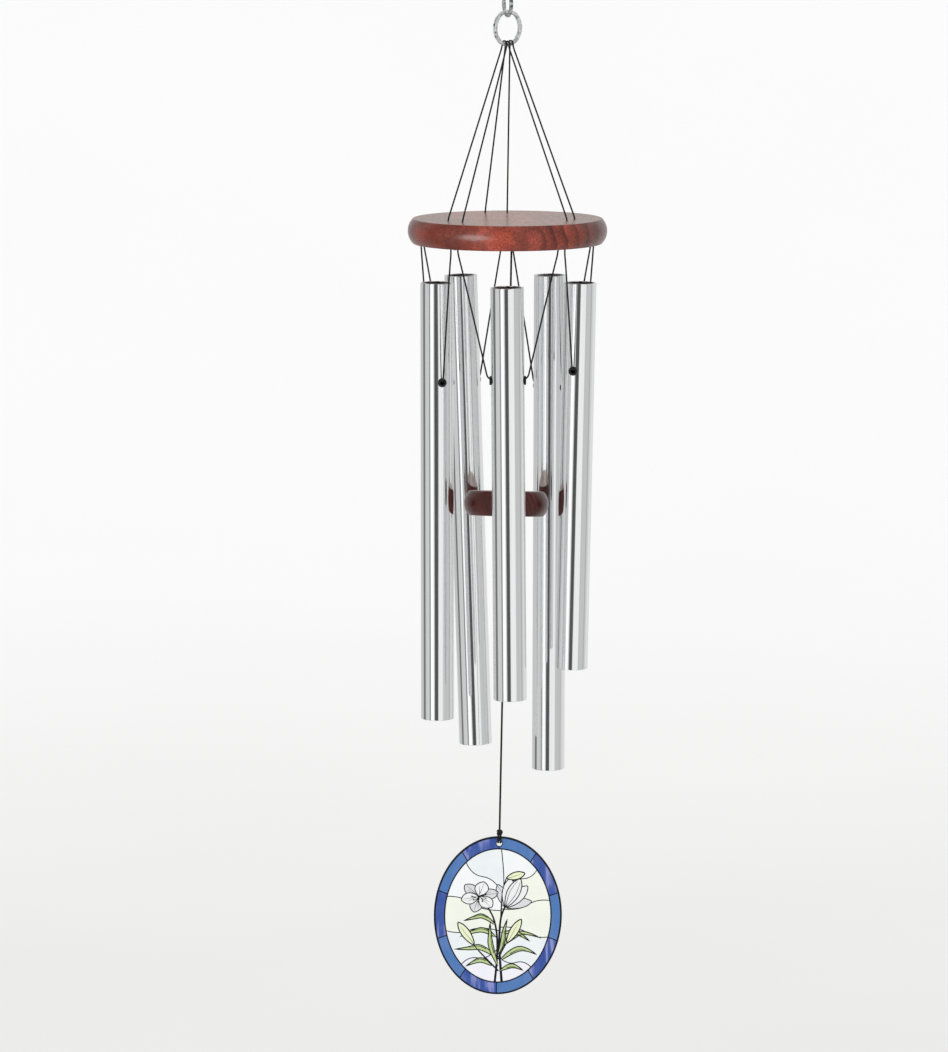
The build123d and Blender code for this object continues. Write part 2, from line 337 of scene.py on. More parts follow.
def mesh_object(name, vertices, faces, materials, place=None):
    """Smooth mesh piece whose closed shells all face outwards."""
    mesh = bpy.data.meshes.new(name)
    mesh.from_pydata([tuple(place @ v if place else v) for v in vertices], [], faces)
    shells = bmesh.new()
    shells.from_mesh(mesh)
    bmesh.ops.recalc_face_normals(shells, faces=shells.faces)
    shells.to_mesh(mesh)
    shells.free()
    for material in materials:
        mesh.materials.append(material)
    mesh.polygons.foreach_set("use_smooth", [True] * len(faces))
    mesh.validate()
    return bpy.data.objects.new(name, mesh)


def grid_faces(rings, around_count, first=0, closed=False):
    """Quads between rings of points, each ring closed round the tube."""
    faces = []
    for i in range(rings if closed else rings - 1):
        a = first + i * around_count
        b = first + (i + 1) % rings * around_count
        for j in range(around_count):
            k = (j + 1) % around_count
            faces.append((a + j, a + k, b + k, b + j))
    return faces


def end_faces(rings, around_count, first=0):
    """Flat faces that close the first and the last of the rings."""
    last = first + (rings - 1) * around_count
    ring = range(around_count)
    return [tuple(first + i for i in reversed(ring)), tuple(last + i for i in ring)]


FLOOR_REACH = 8.0
WALL_RISE = 9.0
WALL_BEND = 2.0
BEND_STEPS = 8
FLOOR_SIDES = 64
FLOOR_MIDDLE_R = 0.02


def floor_piece(material):
    """Round studio floor that sweeps up into a pale wall far behind the chime."""
    flat = FLOOR_REACH - WALL_BEND
    outline = [(FLOOR_MIDDLE_R, 0), (flat, 0)]
    for step in range(1, BEND_STEPS + 1):
        a = math.radians(90 * step / BEND_STEPS)
        outline.append((flat + WALL_BEND * math.sin(a), WALL_BEND * (1 - math.cos(a))))
    outline.append((FLOOR_REACH, WALL_RISE))
    vertices = []
    for radius, height in outline:
        for step in range(FLOOR_SIDES):
            a = 2 * math.pi * step / FLOOR_SIDES
            vertices.append((radius * math.cos(a), radius * math.sin(a), FLOOR_Z + height))
    faces = grid_faces(len(outline), FLOOR_SIDES)
    faces.append(tuple(reversed(range(FLOOR_SIDES))))
    floor = mesh_object("floor", vertices, faces, [material])
    bpy.context.scene.collection.objects.link(floor)
    floor.visible_glossy = floor.visible_diffuse = floor.visible_shadow = False


def floor_material():
    """Matt studio paper, with painted shade: a little greyer on the floor near the chime."""
    shader = Shader("studio_paper", Roughness=0.95, Specular_IOR_Level=0.0)
    parts = shader.split(shader.place())
    squares = [shader.math("POWER", parts[axis], 2) for axis in ("X", "Y")]
    far = shader.span(shader.math("SQRT", shader.math("ADD", *squares)), 1.5, 6.5)
    grain = shader.noise(shader.place(), 1.5, detail=6)
    pale = shader.mix(grain, rgb(247, 247, 247), rgb(250, 250, 250))
    # Painted shade: the greyer paper close to the chime stands in for the studio light falling off.
    near = shader.mix(grain, rgb(222, 223, 221), rgb(230, 231, 229))
    shader.link(shader.mix(far, near, pale), "Base Color")
    return shader.material


floor_piece(floor_material())


# --- cord
def cord_material():
    """Black braided cord: dull, painted lighter on the crowns and darker in the gaps as shade."""
    shader = Shader("black_cord", Roughness=0.6, Specular_IOR_Level=0.3, Sheen_Weight=0.08)
    fibres = shader.noise(shader.place(), 2600, detail=3)
    # Painted shade: the colour darkens where the braid is low and lightens on its crowns, with a fibre
    # noise in it.
    braid_shade_and_fibres = shader.product(shader.attribute("braid"), fibres)
    color = shader.ramp(braid_shade_and_fibres, (0.05, rgb(5, 5, 6)), (0.75, rgb(27, 27, 30)))
    shader.link(color, "Base Color")
    shader.bump(fibres, 0.00004, 0.5)
    return shader.material


BLACK_CORD = cord_material()
BRAID_PITCH = 2.6 * MM
BRAID_DEPTH = 0.09
CORD_STEP = 0.43 * MM
CORD_SIDES = 12
CORD_LOBES = CORD_SIDES // 4


def route_line(points):
    """Points along the smooth curve that a cord's route gives, evenly spaced."""
    curve = bpy.data.curves.new("route", "CURVE")
    curve.dimensions = "3D"
    curve.resolution_u = 40
    spline = curve.splines.new("NURBS")
    spline.points.add(len(points) - 1)
    for point, place in zip(spline.points, points):
        point.co = (*place, 1)
    spline.order_u = 3
    spline.use_endpoint_u = True
    carrier = bpy.data.objects.new("route", curve)
    mesh = bpy.data.meshes.new_from_object(carrier)
    line = [v.co.copy() for v in mesh.vertices]
    bpy.data.meshes.remove(mesh)
    bpy.data.curves.remove(curve)
    return line


def spaced(line, step):
    """The same line with its points a step apart."""
    along = [0.0]
    for a, b in zip(line, line[1:]):
        along.append(along[-1] + (b - a).length)
    count = max(2, round(along[-1] / step))
    result, i = [], 0
    for k in range(count + 1):
        at = along[-1] * k / count
        while i < len(line) - 2 and along[i + 1] < at:
            i += 1
        share = (at - along[i]) / max(along[i + 1] - along[i], 1e-12)
        result.append(line[i].lerp(line[i + 1], min(1.0, share)))
    return result


def line_frames(line):
    """Two directions across the line at each point, without twist."""
    ahead = (line[1] - line[0]).normalized()
    across = ahead.orthogonal().normalized()
    frames = []
    for i in range(len(line)):
        along = (line[min(i + 1, len(line) - 1)] - line[max(i - 1, 0)]).normalized()
        across = (across - along * across.dot(along)).normalized()
        frames.append((across, along.cross(across)))
    return frames


def set_braid(obj, heights):
    """Keeps the braid's height at each point, which the cord's painted shade reads."""
    obj.data.attributes.new("braid", "FLOAT", "POINT").data.foreach_set("value", heights)
    return obj


def braided_tube(name, line, diameter):
    """Mesh of a braided cord along a line: crossing strands stand out as a lattice."""
    vertices, braid, faces = [], [], []
    wave = 2 * math.pi * (line[1] - line[0]).length / BRAID_PITCH
    for i, (point, (across, other)) in enumerate(zip(line, line_frames(line))):
        for j in range(CORD_SIDES):
            a = 2 * math.pi * (j + 0.5 * (i % 2)) / CORD_SIDES
            high = 0.5 + 0.5 * math.cos(CORD_LOBES * a + wave * i) * math.cos(CORD_LOBES * a - wave * i)
            radius = diameter / 2 * (1 - BRAID_DEPTH + BRAID_DEPTH * high)
            vertices.append(point + (across * math.cos(a) + other * math.sin(a)) * radius)
            braid.append(high)
    for i in range(len(line) - 1):
        a, b = i * CORD_SIDES, (i + 1) * CORD_SIDES
        for j in range(CORD_SIDES):
            k = (j + 1) % CORD_SIDES
            if i % 2:
                faces += [(a + j, a + k, b + k), (a + j, b + k, b + j)]
            else:
                faces += [(a + j, a + k, b + j), (a + k, b + k, b + j)]
    faces += end_faces(len(line), CORD_SIDES)
    return set_braid(mesh_object(name, vertices, faces, [BLACK_CORD]), braid)


def make_cord(name, points, diameter, body, replaced):
    line = spaced(route_line(points), CORD_STEP)
    piece = link(braided_tube(name, line, diameter), body, "black_cord", replaced)


def part_way(start, end, distance):
    """Point at a distance from the start of a run."""
    return start + (end - start).normalized() * distance


RING_NORMAL = around(RING_ANGLE, 1, 0)
RING_TANGENT = Vector((0, 0, 1)).cross(RING_NORMAL)
RING_MID_R = RING_OUTER_R - RING_RADIAL / 2


def loop_middle(front_hole, back_hole):
    front = around(front_hole, LOOP_HOLES_R, DISC_BOTTOM - UNDER_DROP)
    back = around(back_hole, LOOP_HOLES_R, DISC_BOTTOM - UNDER_DROP)
    return (front + back) * 0.5, (front - back).normalized()


def suspension_loop(name, front_hole, back_hole, offset):
    """Cord round the ring's foot, down one hole and up the next, knotted below."""
    middle, along = loop_middle(front_hole, back_hole)
    foot_z = RING_Z - math.sqrt(RING_MID_R**2 - offset**2)
    foot = Vector((0, 0, foot_z)) + RING_TANGENT * offset
    knot_side = along * (LOOP_KNOT[1] / 2)
    points = [middle + knot_side]
    for angle, side in ((front_hole, 1), (back_hole, -1)):
        below = around(angle, LOOP_HOLES_R, DISC_BOTTOM - UNDER_DROP)
        above = around(angle, LOOP_HOLES_R, DISC_TOP)
        inside = below + Vector((0, 0, (below - middle).length - LOOP_KNOT[1] / 2))
        beside = foot + RING_NORMAL * (side * LOOP_GAP) - Vector((0, 0, LOOP_SIDE))
        over = foot + RING_NORMAL * (side * LOOP_GAP) + Vector((0, 0, LOOP_GAP))
        hole_end = part_way(above, beside, EDGE_POINT)
        ring_end = part_way(beside, above, EDGE_POINT)
        leg = [below, inside, above, hole_end, ring_end, beside, over]
        points += leg if side == 1 else leg[::-1]
    points.append(middle - knot_side)
    make_cord(f"suspension_cord_{name}", points, CORD, "canopy", f"suspension_loop_{name}")


START_DEPTH = 0.3 * MM
BULGE_AT = 2.2 * MM
BULGE = 0.35 * MM
STRAIGHT_FROM = 9 * MM


def tube_cord(name):
    """Cord from a tunnel mouth through both grommets of a tube to the next mouth."""
    angle = TUBES[name][0]
    place = tube_frame(name)
    mouth_turn = math.degrees(math.asin(TUNNEL_HALF / TUNNEL_R))
    legs = []
    for side in (-1, 1):
        mouth_angle = angle + side * (180 / len(TUBES) - mouth_turn)
        mouth = around(mouth_angle, TUNNEL_R, DISC_BOTTOM - CORD_START)
        start = mouth + Vector((0, 0, CORD_START + START_DEPTH))
        corner = place @ Vector((side * CORD_CORNER, 0, CORD_LIFT))
        inside = place @ Vector((side * (CORD_CORNER - EDGE_POINT), 0, CORD_LIFT))
        bulge = part_way(mouth, corner, BULGE_AT) + around(mouth_angle + side * 90, 1, 0) * BULGE
        straight = [part_way(mouth, corner, STRAIGHT_FROM), part_way(corner, mouth, EDGE_POINT)]
        legs.append([start, bulge, *straight, corner, inside])
    points = legs[0] + legs[1][::-1]
    make_cord(f"sling_cord_{name}", points, CORD, f"sling_{name}", f"tube_cord_{name}")


for loop_name, loop_route in SUSPENSION.items():
    suspension_loop(loop_name, *loop_route)
for tube_name in TUBES:
    tube_cord(tube_name)


# Where the cords and the knots of the striker line begin and end, down the line.
STRIKER_LINE = (2.65 * MM, 158.2 * MM)
STRIKER_KNOT_AT = 158.45 * MM
TAIL_LINE = (162.1 * MM, 342.15 * MM)
SAIL_KNOT_AT = 342.4 * MM
SAIL_TOP_AT = 346.4 * MM
SAIL_PIVOT_AT = 349.8 * MM


def line_cord(name, ends, body, replaced):
    start, end = ends
    points = [on_line(start + (end - start) * share).translation for share in (0, 0.5, 1)]
    make_cord(name, points, STRIKER_CORD, body, replaced)


line_cord("striker_line", STRIKER_LINE, "striker", "striker_cord")
line_cord("tail_line", TAIL_LINE, "tail", "tail_cord")


# --- metal
def tube_material(name):
    """Drawn and polished aluminium: faint lengthwise streaks under a mirror finish."""
    shader = Shader(f"polished_tube_{name}", Metallic=1.0, Roughness=0.07)
    place = tube_frame(name).inverted()
    local = shader.place(location=place.translation, rotation=place.to_euler())
    streaks = shader.noise(shader.stretched(local, (1, 1, 0.004)), 900, detail=5, roughness=0.65)
    color = shader.ramp(streaks, (0.30, rgb(237, 238, 239)), (0.70, rgb(249, 250, 250)))
    shader.link(color, "Base Color")
    wear = shader.noise(local, 60, detail=5)
    drawn, wear_and_painted_reflection = shader.span(streaks, 0.35, 0.65, 0.06, 0.10), shader.span(wear, 0.5, 0.8, 0, 0.05)
    shader.link(shader.math("ADD", drawn, wear_and_painted_reflection), "Roughness")
    shader.bump(streaks, 0.0000015)
    return shader.material


# Colour of the dark specks painted on the steel as reflections of dark surroundings.
DARK_REFLECTION_SPECK = rgb(60, 61, 63)


def steel_material(name, dark, light, patches):
    """Satin steel with soft clouds, and painted dark reflections as specks where a noise is in patches."""
    shader = Shader(name, Metallic=0.75, Roughness=0.3, Specular_IOR_Level=0.5)
    cloud = shader.noise(shader.place(), 420, detail=5, roughness=0.65)
    body = shader.mix(shader.span(cloud, 0.35, 0.65), dark, light)
    # Painted reflection: dark specks laid on the steel where the noise is in patches.
    wear_and_painted_reflection = shader.span(shader.noise(shader.place(location=(0.003, 0.001, 0.002)), 300, detail=4), *patches)
    shader.link(shader.mix(wear_and_painted_reflection, body, DARK_REFLECTION_SPECK), "Base Color")
    shader.link(shader.span(cloud, 0.3, 0.7, 0.42, 0.26), "Roughness")
    shader.bump(cloud, 0.00004, 0.5)
    return shader.material


def paint(node, material):
    obj = NODES[node]
    obj.data.materials.clear()
    obj.data.materials.append(material)


for tube_name in TUBES:
    paint(f"tube_{tube_name}", tube_material(tube_name))
HOOK_STEEL = steel_material("hook_steel", rgb(92, 93, 94), rgb(216, 217, 218), (0.52, 0.62))
RING_STEEL = steel_material("ring_steel", rgb(178, 179, 180), rgb(240, 241, 241), (0.58, 0.64))
paint("hanging_hook", HOOK_STEEL)
paint("hanging_ring", RING_STEEL)
for node_name in NODES:
    if "cord" in node_name or "knot" in node_name or node_name == "striker_line_tie":
        paint(node_name, BLACK_CORD)


# --- wood
PORE = rgb(34, 12, 10)
# Paler tone painted on the top face as the lacquer's sheen.
PAINTED_TOP_SHEEN = rgb(190, 166, 148)
RISE_SQUASH = 0.8


def wood_material(name, grain, pith, pitch, light, dark, right_tone_and_shade):
    """Red-stained hardwood under satin lacquer, with growth rings round a pith.
    Painted shade darkens both ends of the rim; painted sheen pales the top face.

    grain is the way the fibres run, in degrees like the other angles; pith is the
    ring centre's place across the grain and its height; pitch is the rings' step;
    the last tone is the browner wood to the right of the pith, dark enough to be
    painted shade on the rim's right end as well."""
    shader = Shader(name, Roughness=0.38, Coat_Weight=0.7, Coat_Roughness=0.25,
                    Specular_IOR_Level=0.1, Coat_IOR=1.45)
    rotation = (0, 0, math.radians(90 - grain))
    local = shader.place(location=(0, -pith[0], -pith[1]), rotation=rotation)
    stretched = shader.stretched(local, (0.1, 1, 1))
    parts = shader.split(local)
    side = parts["Y"]
    across = shader.math("POWER", side, 2)
    up = shader.math("POWER", shader.product(parts["Z"], RISE_SQUASH), 2)
    distance = shader.math("SQRT", shader.math("ADD", across, up))
    warp = shader.noise(stretched, 34, detail=3)
    warped = shader.math("MULTIPLY_ADD", warp, pitch * 1.8, distance)
    ring = shader.math("FRACT", shader.math("DIVIDE", warped, pitch))
    late = shader.ramp(ring, (0.0, grey(0)), (0.40, grey(0.22)), (0.84, grey(1)), (0.97, grey(0)))
    fibres = shader.noise(stretched, 900, detail=5, roughness=0.65)
    flecks = shader.noise(shader.stretched(local, (0.3, 1, 1)), 1500, detail=3, roughness=0.7)
    pores = shader.span(flecks, 0.50, 0.64)
    cloud = shader.noise(local, 60, detail=5, roughness=0.6)
    share = shader.product(
        late,
        shader.span(cloud, 0.25, 0.6, 0.55, 1.0),
        shader.span(side, -0.004, 0.012, 0.15, 1.0),
        shader.span(distance, pitch * 0.3, pitch * 1.2, 0.3, 1.0),
    )
    facing = shader.split(shader.node("ShaderNodeNewGeometry").outputs["Normal"])["Z"]
    body = shader.layers(
        light,
        # Browner wood to the right, which is also painted shade on the rim's right end.
        (shader.span(side, 0.010, 0.045), right_tone_and_shade),
        # Painted shade: the rim darker towards its left end.
        (shader.span(side, -0.024, -0.044, 0, 0.62), dark),
        (shader.span(cloud, 0.38, 0.66, 0, 0.6), dark),
        (shader.product(share, 0.85), dark),
        (shader.span(fibres, 0.35, 0.65, 0, 0.5), dark),
        (shader.product(pores, 0.6), PORE),
        # Painted sheen: the upward-facing top paler, as the lacquer's reflection.
        (shader.product(shader.span(facing, 0.92, 0.99), 0.3), PAINTED_TOP_SHEEN),
    )
    shader.link(body, "Base Color")
    shader.link(shader.span(fibres, 0.3, 0.7, 0.32, 0.46), "Roughness")
    shader.bump(shader.math("SUBTRACT", shader.product(fibres, 0.3), pores), 0.00004, 0.6)
    return shader.material


DISC_MIDDLE = (DISC_TOP + DISC_BOTTOM) / 2
STRIKER_LOW, STRIKER_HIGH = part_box("striker")
STRIKER_MIDDLE = (STRIKER_LOW.z + STRIKER_HIGH.z) / 2
DISC_PITH = (6 * MM, DISC_MIDDLE - 3 * MM)
STRIKER_PITH = (-1 * MM, STRIKER_MIDDLE - 3 * MM)
# Light, dark and right-hand tones; the darker right-hand tone also stands for painted shade at the rim's
# right end.
DISC_TONES = (rgb(158, 68, 50), rgb(58, 19, 13), rgb(104, 50, 36))
STRIKER_TONES = (rgb(98, 31, 22), rgb(30, 8, 5), rgb(88, 34, 24))
paint("top_disc", wood_material("disc_wood", 8, DISC_PITH, 7.2 * MM, *DISC_TONES))
paint("striker", wood_material("striker_wood", 14, STRIKER_PITH, 3.2 * MM, *STRIKER_TONES))


WINDOW_PLACE = (-1.35, -1.7, -0.15)
WINDOW_AIM = (0, 0, -0.16)


def sheen_light():
    """Soft window to the left whose sheen shows on the lacquered disc only."""
    window = area_light("window_light", WINDOW_PLACE, WINDOW_AIM, 1.3, 30)
    lacquered = bpy.data.collections.new("lacquered")
    lacquered.objects.link(NODES["top_disc"])
    window.light_linking.receiver_collection = lacquered


sheen_light()


# --- split ring
BOX_POWER = 4.0
BOX_SIDES = 20
RING_START = 285.0
RING_JOG = 30.0
RING_STEPS = 240
RING_ENDS = (0.72, 0.93, 1.0)


def rounded_box(width, height):
    """Outline of a rectangle with soft corners."""
    outline = []
    for step in range(BOX_SIDES):
        a = 2 * math.pi * step / BOX_SIDES
        c, s = math.cos(a), math.sin(a)
        x = math.copysign(abs(c) ** (2 / BOX_POWER), c) * width / 2
        y = math.copysign(abs(s) ** (2 / BOX_POWER), s) * height / 2
        outline.append((x, y))
    return outline


def split_ring():
    """Two flat turns of wire side by side, with the step where they change over."""
    centre = Vector((0, 0, RING_Z))
    shift = (RING_WIDTH - RING_TURN) / 2
    travel = 720.0 - RING_JOG
    section = rounded_box(RING_RADIAL, RING_TURN)
    vertices = []
    for i in range(RING_STEPS + 1):
        gone = travel * i / RING_STEPS
        a = math.radians(RING_START + gone)
        out = RING_TANGENT * math.cos(a) + Vector((0, 0, math.sin(a)))
        crossing = min(1.0, max(0.0, (gone - 360 + RING_JOG) / RING_JOG))
        side = shift * (2 * crossing * crossing * (3 - 2 * crossing) - 1)
        point = centre + out * RING_MID_R + RING_NORMAL * side
        size = RING_ENDS[min(i, RING_STEPS - i, 2)]
        vertices += [point + out * (x * size) + RING_NORMAL * (y * size) for x, y in section]
    faces = grid_faces(RING_STEPS + 1, BOX_SIDES) + end_faces(RING_STEPS + 1, BOX_SIDES)
    ring = mesh_object("split_ring", vertices, faces, [RING_STEEL])
    link(ring, "ring", "ring_steel", "hanging_ring")


split_ring()


# --- grommets
def rounded(points, steps, closed=True):
    """Smooth outline that the given points shape, as a quadratic spline."""
    result = []
    count = len(points)
    corners = range(count) if closed else range(1, count - 1)
    for i in corners:
        before, here, after = (Vector(points[(i + k) % count]) for k in (-1, 0, 1))
        a = (before + here) / 2 if closed or i > 1 else before
        b = (here + after) / 2 if closed or i < count - 2 else after
        for step in range(steps):
            t = step / steps
            result.append(a * (1 - t) ** 2 + here * (2 * t * (1 - t)) + b * t**2)
    if not closed:
        result.append(Vector(points[-1]))
    return result


LATHE_SIDES = 40


def lathe(outline):
    """Points and faces of a closed outline (along, out) turned round the X axis."""
    vertices = []
    for step in range(LATHE_SIDES):
        a = 2 * math.pi * step / LATHE_SIDES
        for along, out in outline:
            vertices.append(Vector((along, out * math.cos(a), out * math.sin(a))))
    return vertices, grid_faces(LATHE_SIDES, len(outline), closed=True)


def rubber_material():
    """Black rubber with a fine matt bloom and a little mould texture."""
    shader = Shader("grommet_rubber", Roughness=0.55, Specular_IOR_Level=0.4)
    bloom = shader.cloudy(260, 3, (12, 12, 13), (34, 34, 36), light_from=0.75)
    shader.link(shader.span(bloom, 0.3, 0.7, 0.45, 0.65), "Roughness")
    shader.bump(shader.noise(shader.place(), 1800), 0.00002, 0.5)
    return shader.material


RUBBER = rubber_material()
# A grommet's section in millimetres: how far from the tube's axis and the hole's.
GROMMET = [
    (9.55, 1.22), (10.10, 1.25), (10.44, 1.50), (10.50, 2.00), (10.40, 2.52),
    (9.90, 2.64), (9.45, 2.50), (9.40, 1.86), (8.70, 1.86), (8.05, 1.86),
    (7.95, 2.40), (7.50, 2.52), (7.05, 2.30), (7.00, 1.60), (7.45, 1.22),
]


def grommets(name):
    """The two rubber grommets in a tube's hanging holes, with flared mouths."""
    outline = rounded([(a * MM, r * MM) for a, r in GROMMET], steps=4)
    vertices, faces = lathe(outline)
    half = len(vertices)
    place = tube_frame(name)
    both = [place @ v for v in vertices] + [place @ turn(180, "Z") @ v for v in vertices]
    faces = faces + [tuple(i + half for i in face) for face in faces]
    piece = mesh_object(f"rubber_grommets_{name}", both, faces, [RUBBER])
    link(piece, f"tube_{name}", "grommet_rubber", f"grommets_{name}")


for tube_name in TUBES:
    grommets(tube_name)


# --- knots
KNOT_STEP = 0.2 * MM
KNOT_STEPS = 120
KNOT_TRAVEL = 0.985
KNOT_LOBE = 0.38


def knot_line(place, diameter, height, thickness):
    """Line of a tight overhand knot: three lobes, as wide and high as given."""
    reach = (diameter - thickness) / 2
    line = []
    for step in range(KNOT_STEPS + 1):
        t = 2 * math.pi * KNOT_TRAVEL * step / KNOT_STEPS
        radius = reach * (1 - KNOT_LOBE + KNOT_LOBE * math.cos(3 * t))
        z = (height - thickness) / 2 * math.sin(3 * t) - height / 2
        line.append(place @ Vector((radius * math.cos(2 * t), radius * math.sin(2 * t), z)))
    return line


def knot(name, place, diameter, height, thickness):
    line = spaced(knot_line(place, diameter, height, thickness), KNOT_STEP)
    return braided_tube(name, line, thickness)


def knot_end(name, place, first, last):
    """Short straight end of cord that leads into a knot, between two depths."""
    line = [place @ Vector((0, 0, first + (last - first) * k / 6)) for k in range(7)]
    return braided_tube(name, line, STRIKER_CORD)


def joined(name, parts):
    """One piece made of several cords."""
    vertices, faces, braid = [], [], []
    for part in parts:
        first = len(vertices)
        vertices += [v.co.copy() for v in part.data.vertices]
        faces += [tuple(first + i for i in p.vertices) for p in part.data.polygons]
        braid += [item.value for item in part.data.attributes["braid"].data]
        bpy.data.objects.remove(part)
    return set_braid(mesh_object(name, vertices, faces, [BLACK_CORD]), braid)


LOOP_KNOT_DROP = 0.35 * MM
LOOP_KNOT_CORD = 0.95 * MM


def suspension_knots():
    """Three small knots, flat under the disc, that close the suspension loops."""
    made = []
    for front_hole, back_hole, _ in SUSPENSION.values():
        middle, along = loop_middle(front_hole, back_hole)
        start = middle + along * (LOOP_KNOT[1] / 2) - Vector((0, 0, LOOP_KNOT_DROP))
        place = Matrix.Translation(start) @ along.to_track_quat("Z", "Y").to_matrix().to_4x4()
        made.append(knot("loop_knot", place, LOOP_KNOT[0] * 1.1, LOOP_KNOT[1], LOOP_KNOT_CORD))
    link(joined("suspension_knots_tied", made), "canopy", "black_cord", "suspension_knots")


suspension_knots()


def line_knot(body, place, diameter, height, thickness):
    """Knot in the striker line, with the cord that runs into and out of it."""
    parts = [
        knot("core", place, diameter, height, thickness),
        knot_end("above", place, KNOT_REACH, -height * 0.4),
        knot_end("below", place, -height * 0.6, -height - KNOT_REACH),
    ]
    link(joined(f"{body}_tied", parts), body, "black_cord", body)


KNOT_REACH = 0.22 * MM
# Each knot's width, height and the thickness of its cord.
HANGING_KNOT = (2.9 * MM, 2.4 * MM, 1.0 * MM)
STRIKER_KNOT = (4.4 * MM, 3.4 * MM, 1.5 * MM)
SAIL_KNOT = (4.0 * MM, 3.4 * MM, 1.6 * MM)
line_knot("hanging_knot", LINE_FRAME, *HANGING_KNOT)
line_knot("striker_knot", on_line(STRIKER_KNOT_AT), *STRIKER_KNOT)

SAIL_LOOP_CORD = 1.25 * MM
SAIL_LOOP_SIDE = 0.66 * MM
SAIL_LOOP_HALF = 2.1 * MM
SAIL_LOOP_STEP = 0.3 * MM


def sail_knot():
    """Knot above the sail, with the doubled loop of cord through its hole."""
    top = on_line(SAIL_KNOT_AT)
    parts = [knot("core", top, *SAIL_KNOT), knot_end("above", top, KNOT_REACH, -1.4 * MM)]
    knot_low = -SAIL_KNOT_AT - SAIL_KNOT[1] * 0.7
    for x in (-SAIL_LOOP_SIDE, SAIL_LOOP_SIDE):
        half = [
            (x * 0.6, 0.8 * MM, knot_low),
            (x * 1.2, SAIL_LOOP_HALF, knot_low - 1.2 * MM),
            (x * 1.1, SAIL_LOOP_HALF, -SAIL_PIVOT_AT + 1.4 * MM),
            (x, SAIL_LOOP_HALF * 0.8, -SAIL_PIVOT_AT - 0.15 * MM),
        ]
        route = [(a, -b, c) for a, b, c in half] + half[::-1]
        line = spaced(route_line([LINE_FRAME @ Vector(p) for p in route]), SAIL_LOOP_STEP)
        parts.append(braided_tube("sail_loop", line, SAIL_LOOP_CORD))
    link(joined("sail_knot_tied", parts), "sail_knot", "black_cord", "sail_knot")


sail_knot()


# --- sail
# The sail's drawing is in millimetres from the middle of its oval, X to the right
# and Y up, as seen from the front.
OVAL = (37.4, 46.95)
TILE_OUTER = (36.3, 45.85)
TILE_INNER = (31.2, 39.8)
PANE_OVAL = (30.9, 39.5)
TILES = 10
HOLE_Y = 42.65
HOLE_R = 1.55
HOLE_CUT = HOLE_R + 0.3
HOLE_LINE_R = HOLE_R + 0.25

# Heights over the sail's middle, which say what covers what in the drawing.
CORE_HALF = 0.74
PANE_TOP = 0.83
GLASS_TOP = 0.86
PANE_LINE_TOP = 0.87
BLADE_TOP, BLADE_STEP = 0.872, 0.006
STEM_TOP = 0.895
BACK_PETAL_TOP, FRONT_PETAL_TOP = 0.875, 0.92
CUP_OUTER_TOP, CUP_FRONT_TOP = 0.86, 0.945
BUD_TOP = 0.968
LEAD_TOP, RIB_TOP, BUD_RIB_TOP = 0.98, 0.99, 0.995
LINE_RISE = 0.03
SUNK = 0.02

# Widths of the dark lines.
LEAD = 0.62
RIM_LINE, BORDER_LINE, PANE_LINE, HOLE_LINE = 0.84, 0.8, 0.64, 0.4
CUP_LINE, CUP_FRONT_LINE, LEAF_LINE, BUD_LINE = 0.64, 0.68, 0.72, 0.74
FINE_LINE, FINE_TIP = 0.42, 0.16
RIM_LINE_OVAL = (36.95, 46.5)
BORDER_LINE_OVAL = (31.05, 39.65)

LIGHT_BLUE = (72, 112, 168)
DEEP_BLUE = (54, 80, 150)
STREAK_VIOLET = (126, 134, 188)
STREAK_NAVY = (44, 66, 138)
CLOUD_BLUE = (150, 165, 190)
PALE_BLUE = (221, 226, 227)
PALE_GREEN = (226, 229, 217)
PALE_LILAC = (225, 224, 231)
PALE_WHITE = (229, 231, 231)
PETAL = (224, 225, 224)
SHADED_PETAL = (205, 206, 207)
BUD = (221, 226, 190)
LEAF = (176, 194, 132)


def oval(size, angle):
    """Point on an oval, the angle clockwise from its top."""
    a = math.radians(angle)
    return (size[0] * math.sin(a), size[1] * math.cos(a))


def hole_circle(radius):
    """Points of a circle round the sail's hanging hole."""
    places = [oval((radius, radius), 15 * k) for k in range(24)]
    return [(x, HOLE_Y + y) for x, y in places]


class Glass:
    """Collects the flat shapes of the sail's two faces into one mesh."""

    def __init__(self):
        self.vertices, self.faces, self.tints, self.streaks = [], [], [], []

    def slab(self, outline, top, tint, streak=0.0):
        """A flat shape with thickness on the front face and the same on the back.

        streak is how much of its finish is drawn-out streaks."""
        turns = zip(outline, outline[1:] + outline[:1])
        if sum(p[0] * q[1] - q[0] * p[1] for p, q in turns) < 0:
            outline = outline[::-1]
        for low, high in ((-top, -CORE_HALF + SUNK), (CORE_HALF - SUNK, top)):
            first, count = len(self.vertices), len(outline)
            for depth in (low, high):
                self.vertices += [Vector((x, depth, y)) * MM for x, y in outline]
            ids = list(range(count))
            self.faces.append(tuple(first + i for i in ids))
            self.faces.append(tuple(first + count + i for i in reversed(ids)))
            for i in ids:
                k = (i + 1) % count
                self.faces.append((first + k, first + i, first + count + i, first + count + k))
            self.tints += [tint] * (count * 2)
            self.streaks += [streak] * (count * 2)

    def build(self, name, material, place):
        obj = mesh_object(name, self.vertices, self.faces, [material], place)
        obj.data.polygons.foreach_set("use_smooth", [False] * len(obj.data.polygons))
        colors = obj.data.attributes.new("tint", "FLOAT_COLOR", "POINT")
        colors.data.foreach_set("color", [c for tint in self.tints for c in rgb(*tint)])
        streaks = obj.data.attributes.new("streak", "FLOAT", "POINT")
        streaks.data.foreach_set("value", self.streaks)
        link(obj, "sail", "sail_glaze")


